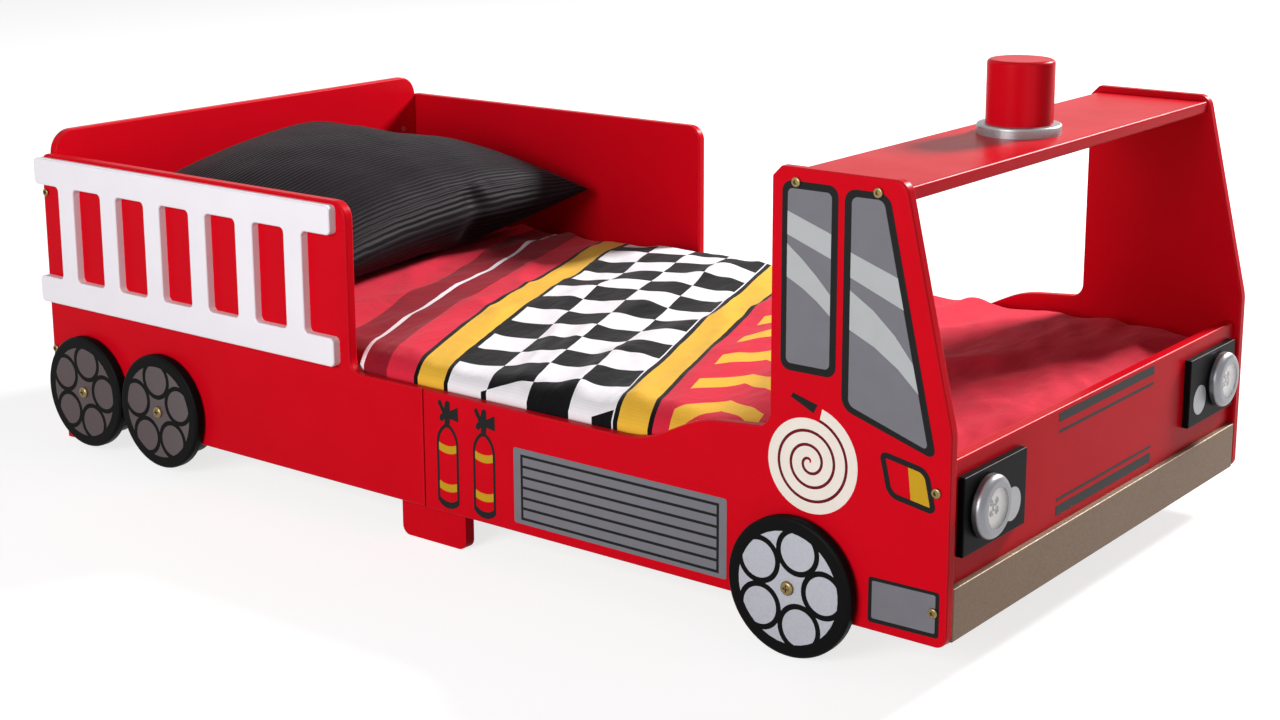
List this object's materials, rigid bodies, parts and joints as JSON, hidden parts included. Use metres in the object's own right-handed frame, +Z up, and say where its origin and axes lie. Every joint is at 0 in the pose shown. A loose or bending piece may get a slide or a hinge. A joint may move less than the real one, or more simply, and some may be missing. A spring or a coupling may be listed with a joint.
{
  "type": "fire engine bed",
  "caption": "Child's low bed shaped like a fire engine: lacquered boards, cab with roof and beacon, side ladders, turning wheels, push lights, slatted base and bedding.",
  "frame": {"origin": "on the floor, under the middle of the whole length and width", "axes": "+X towards the truck's front (foot end), +Y towards the truck's left, +Z up"},
  "size_m": [1.4786, 0.7962, 0.6125],
  "materials": {
    "red_lacquer": "glossy red lacquer on fibreboard",
    "white_lacquer": "satin white lacquer on fibreboard",
    "silver_lacquer": "satin silver lacquer on fibreboard",
    "black_lacquer": "satin black lacquer on fibreboard",
    "bare_wood": "planed softwood",
    "brass": "brass plated",
    "steel": "zinc plated",
    "chrome_plastic": "chrome plated",
    "clear_plastic": "clear, polished",
    "black_plastic": "moulded",
    "lamp_board": "white solder mask",
    "lamp_domes": "clear resin",
    "battery_can": "bare can",
    "mattress_ticking": "white ticking",
    "duvet_cotton": "printed cotton",
    "pillow_satin": "fine striped satin"
  },
  "bodies": {
    "bed": {"side_rear_r": "red_lacquer", "side_rear_l": "red_lacquer", "side_front_r": "red_lacquer", "side_front_l": "red_lacquer", "headboard": "red_lacquer", "front_panel": "red_lacquer", "roof_board": "red_lacquer", "beacon": "red_lacquer", "mid_foot_r": "red_lacquer", "mid_foot_l": "red_lacquer", "front_foot_r": "red_lacquer", "front_foot_l": "red_lacquer", "ladder_r": "white_lacquer", "ladder_l": "white_lacquer", "bumper": "silver_lacquer", "beacon_base": "silver_lacquer", "inner_tyres": "black_lacquer", "headlight_plate_r": "black_lacquer", "headlight_plate_l": "black_lacquer", "slats": "bare_wood", "slat_rail_rear_r": "bare_wood", "slat_rail_rear_l": "bare_wood", "slat_rail_front_r": "bare_wood", "slat_rail_front_l": "bare_wood", "ladder_dowels": "bare_wood", "wheel_screws": "brass", "headboard_bolts": "brass", "front_panel_bolts": "brass", "roof_bolts": "brass", "wheel_inserts": "brass", "beacon_screw": "steel", "foot_screws": "steel", "rail_screws": "steel", "wheel_washers": "steel", "barrel_nuts": "steel", "front_board_screws": "steel", "light_base_r": "black_plastic", "light_base_l": "black_plastic", "light_switch_r": "black_plastic", "light_switch_l": "black_plastic", "light_board_r": "lamp_board", "light_board_l": "lamp_board", "light_leds_r": "lamp_domes", "light_leds_l": "lamp_domes", "light_batteries_r": "battery_can", "light_batteries_l": "battery_can", "mattress": "mattress_ticking", "duvet": "duvet_cotton", "pillow": "pillow_satin"},
    "wheel_rear_r": {"wheel_rear_r": "black_lacquer"},
    "wheel_rear_l": {"wheel_rear_l": "black_lacquer"},
    "wheel_mid_r": {"wheel_mid_r": "black_lacquer"},
    "wheel_mid_l": {"wheel_mid_l": "black_lacquer"},
    "wheel_front_r": {"wheel_front_r": "black_lacquer"},
    "wheel_front_l": {"wheel_front_l": "black_lacquer"},
    "light_r": {"light_cap_r": "chrome_plastic", "light_lens_r": "clear_plastic"},
    "light_l": {"light_cap_l": "chrome_plastic", "light_lens_l": "clear_plastic"}
  },
  "joints": [
    {"name": "wheel_rear_r_turn", "type": "hinge", "parent": "bed", "child": "wheel_rear_r", "pos_m": [-0.6503, -0.3869, 0.088], "axis": [0, 1, 0], "continuous": true},
    {"name": "wheel_rear_l_turn", "type": "hinge", "parent": "bed", "child": "wheel_rear_l", "pos_m": [-0.6503, 0.3869, 0.088], "axis": [0, 1, 0], "continuous": true},
    {"name": "wheel_mid_r_turn", "type": "hinge", "parent": "bed", "child": "wheel_mid_r", "pos_m": [-0.4908, -0.3869, 0.088], "axis": [0, 1, 0], "continuous": true},
    {"name": "wheel_mid_l_turn", "type": "hinge", "parent": "bed", "child": "wheel_mid_l", "pos_m": [-0.4908, 0.3869, 0.088], "axis": [0, 1, 0], "continuous": true},
    {"name": "wheel_front_r_turn", "type": "hinge", "parent": "bed", "child": "wheel_front_r", "pos_m": [0.5397, -0.3869, 0.08], "axis": [0, 1, 0], "continuous": true},
    {"name": "wheel_front_l_turn", "type": "hinge", "parent": "bed", "child": "wheel_front_l", "pos_m": [0.5397, 0.3869, 0.08], "axis": [0, 1, 0], "continuous": true},
    {"name": "light_r_press", "type": "slide", "parent": "bed", "child": "light_r", "axis": [-1, 0, 0], "range_m": [0, 0.0015], "stiffness_N_per_m": 900, "springref_m": -0.001},
    {"name": "light_l_press", "type": "slide", "parent": "bed", "child": "light_l", "axis": [-1, 0, 0], "range_m": [0, 0.0015], "stiffness_N_per_m": 900, "springref_m": -0.001}
  ]
}
